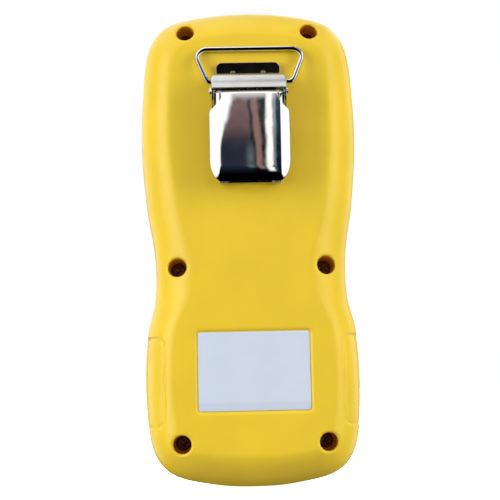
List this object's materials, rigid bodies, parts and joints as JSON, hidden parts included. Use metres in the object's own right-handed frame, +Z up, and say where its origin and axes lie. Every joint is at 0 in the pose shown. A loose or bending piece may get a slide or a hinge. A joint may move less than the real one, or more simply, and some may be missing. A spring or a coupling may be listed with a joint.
{
  "type": "portable gas detector",
  "caption": "Hand-held gas detector: waisted two-shell case with a sprung metal clip and wire bail on its back, and a sensor cover, display and keys on its front.",
  "frame": {"origin": "on the outer face of the clip's base plate, at the middle of where a belt lies under the lever", "axes": "+Z up along the case towards the sensor end, -Y out of the back that carries the clip, +Y out of the display side, +X to the right as seen from the back"},
  "size_m": [0.0586, 0.0406, 0.1285],
  "materials": {
    "yellow_shell": "semi-gloss moulded safety yellow",
    "black_rubber": "matt black elastomer",
    "screw_steel": "zinc-plated steel",
    "insert_brass": "machined",
    "label_film": "satin printed film, pale blue-grey, blank",
    "clip_chrome": "bright nickel-chrome plated sheet and wire",
    "spring_steel": "drawn spring wire",
    "dark_plastic": "fine-textured dark grey plastic",
    "filter_membrane": "white porous membrane",
    "sensor_grey": "moulded grey can",
    "sensor_red": "moulded red can",
    "sensor_blue": "moulded blue can",
    "sensor_steel": "drawn steel can",
    "circuit_board": "green solder mask",
    "black_plastic": "black moulding",
    "alarm_red": "red translucent lens",
    "led_resin": "clear resin",
    "window_clear": "clear scratch-resistant window with a dark border",
    "lcd_grey": "grey-green liquid-crystal display",
    "white_plastic": "white light-guide moulding",
    "key_rubber": "dark grey silicone",
    "plated_steel": "nickel-plated",
    "ribbon_film": "amber film",
    "battery_wrap": "blue shrink wrap",
    "foam_black": "closed-cell foam",
    "weight_metal": "sintered heavy metal"
  },
  "bodies": {
    "case": {"back_shell": "yellow_shell", "front_shell": "yellow_shell", "case_seal": "black_rubber", "case_screws": "screw_steel", "case_inserts": "insert_brass", "rating_label": "label_film", "clip_base": "clip_chrome", "clip_frame": "clip_chrome", "clip_screws": "screw_steel", "clip_inserts": "insert_brass", "clip_pin": "clip_chrome", "clip_spring": "spring_steel", "sensor_cover": "dark_plastic", "cover_screws": "screw_steel", "dust_filters": "filter_membrane", "sensor_o2": "sensor_grey", "sensor_co": "sensor_red", "sensor_h2s": "sensor_blue", "sensor_lel": "sensor_steel", "sensor_board": "circuit_board", "sensor_board_screws": "screw_steel", "buzzer": "black_plastic", "alarm_lens": "alarm_red", "alarm_leds": "led_resin", "display_window": "window_clear", "lcd_glass": "lcd_grey", "lcd_holder": "white_plastic", "display_board": "circuit_board", "display_board_screws": "screw_steel", "key_switches": "black_plastic", "usb_socket": "plated_steel", "board_ribbon": "ribbon_film", "battery": "battery_wrap", "battery_pad": "foam_black", "battery_contacts": "insert_brass", "vibration_motor": "plated_steel", "motor_boot": "black_rubber"},
    "lever": {"clip_lever": "clip_chrome"},
    "bail": {"clip_bail": "clip_chrome"},
    "power_key": {"key_power": "key_rubber"},
    "left_key": {"key_left": "key_rubber"},
    "right_key": {"key_right": "key_rubber"},
    "flap": {"port_flap": "black_rubber"},
    "weight": {"vibration_weight": "weight_metal"}
  },
  "joints": [
    {"name": "lever_hinge", "type": "hinge", "parent": "case", "child": "lever", "pos_m": [0, -0.0053, 0.0116], "axis": [-1, 0, 0], "range_deg": [0, 20], "stiffness_Nm_per_rad": 0.08, "springref_deg": -45.84, "deforming": ["clip_spring"]},
    {"name": "bail_hinge", "type": "hinge", "parent": "case", "child": "bail", "pos_m": [0, -0.0025, 0.0147], "axis": [1, 0, 0], "range_deg": [0, 100]},
    {"name": "power_key_press", "type": "slide", "parent": "case", "child": "power_key", "axis": [0, -1, 0], "range_m": [0, 0.0006], "stiffness_N_per_m": 600, "springref_m": -0.001},
    {"name": "left_key_press", "type": "slide", "parent": "case", "child": "left_key", "axis": [0, -1, 0], "range_m": [0, 0.0006], "stiffness_N_per_m": 600, "springref_m": -0.001},
    {"name": "right_key_press", "type": "slide", "parent": "case", "child": "right_key", "axis": [0, -1, 0], "range_m": [0, 0.0006], "stiffness_N_per_m": 600, "springref_m": -0.001},
    {"name": "flap_hinge", "type": "hinge", "parent": "case", "child": "flap", "pos_m": [0.0281, 0.0229, -0.0576], "axis": [0, -1, 0], "range_deg": [0, 100]},
    {"name": "weight_spin", "type": "hinge", "parent": "case", "child": "weight", "pos_m": [0.0044, 0.0075, -0.0804], "axis": [1, 0, 0], "continuous": true}
  ]
}
